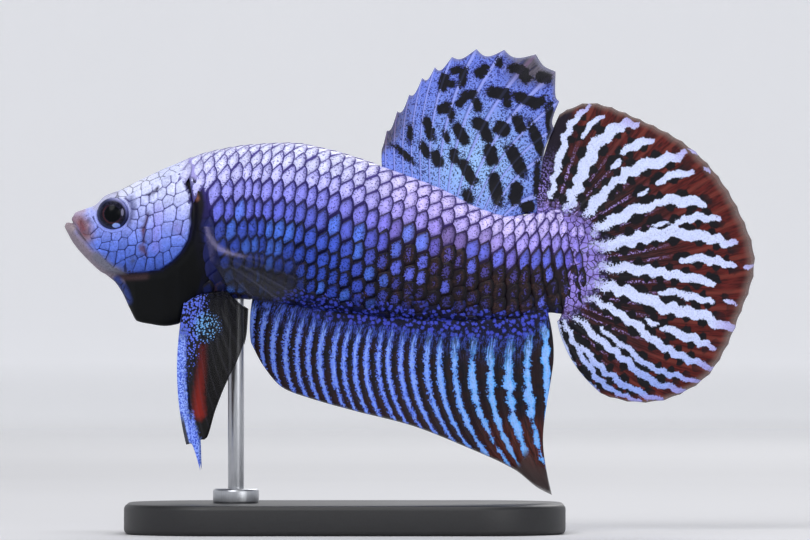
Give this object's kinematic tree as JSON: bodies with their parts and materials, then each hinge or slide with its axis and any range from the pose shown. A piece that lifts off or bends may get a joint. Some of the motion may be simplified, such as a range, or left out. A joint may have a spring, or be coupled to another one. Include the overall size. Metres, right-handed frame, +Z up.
{
  "type": "betta fish model",
  "caption": "Still, life-size model of a short-finned male betta fish with spread fins, held by a rod on a flat display base.",
  "frame": {"origin": "centre of the display base's underside, on the surface that the stand rests on", "axes": "+X from the snout towards the tail, +Z up, and the fish's left side faces -Y"},
  "size_m": [0.0691, 0.026, 0.0484],
  "materials": {
    "head": "pale lavender-white skin plates with fine dark seams, wet sheen",
    "upper_jaw": "pinkish brown lip skin, soft sheen",
    "lower_jaw": "grey-beige lip and jaw skin, soft sheen",
    "throat": "near-black membrane with a blue-scaled front edge",
    "gill_cover": "mosaic of lavender-blue plates with dark seams",
    "eye": "clear wet cornea over a dark iris with a thin reddish ring",
    "trunk": "overlapping scales, lavender-white above, blue at mid flank, brown-black low down",
    "tail": "small overlapping lavender and brown scales",
    "dorsal_fin": "pale blue membrane with rows of black blotches and a smoky edge",
    "caudal_fin": "ice-white wavy streaks with black scalloped edges on brick-red rays",
    "anal_fin": "cornflower to cyan stripes on dark brown",
    "pelvic_fin": "blue leading edge, red patch and a dark clear rear",
    "pectoral_fin": "almost clear, dusky membrane on fine rays",
    "stand_base": "satin black lacquer",
    "stand_metal": "fine brushed steel"
  },
  "bodies": {
    "root": {"head": "head", "upper_jaw": "upper_jaw", "lower_jaw": "lower_jaw", "throat": "throat", "gill_cover_left": "gill_cover", "gill_cover_right": "gill_cover", "eye_left": "eye", "eye_right": "eye", "trunk_front": "trunk", "trunk_rear": "trunk", "tail": "tail", "dorsal_fin": "dorsal_fin", "caudal_fin": "caudal_fin", "anal_fin": "anal_fin", "pelvic_fin_left": "pelvic_fin", "pelvic_fin_right": "pelvic_fin", "pectoral_fin_left": "pectoral_fin", "pectoral_fin_right": "pectoral_fin", "stand_base": "stand_base", "stand_rod": "stand_metal", "stand_collar": "stand_metal"}
  },
  "joints": []
}
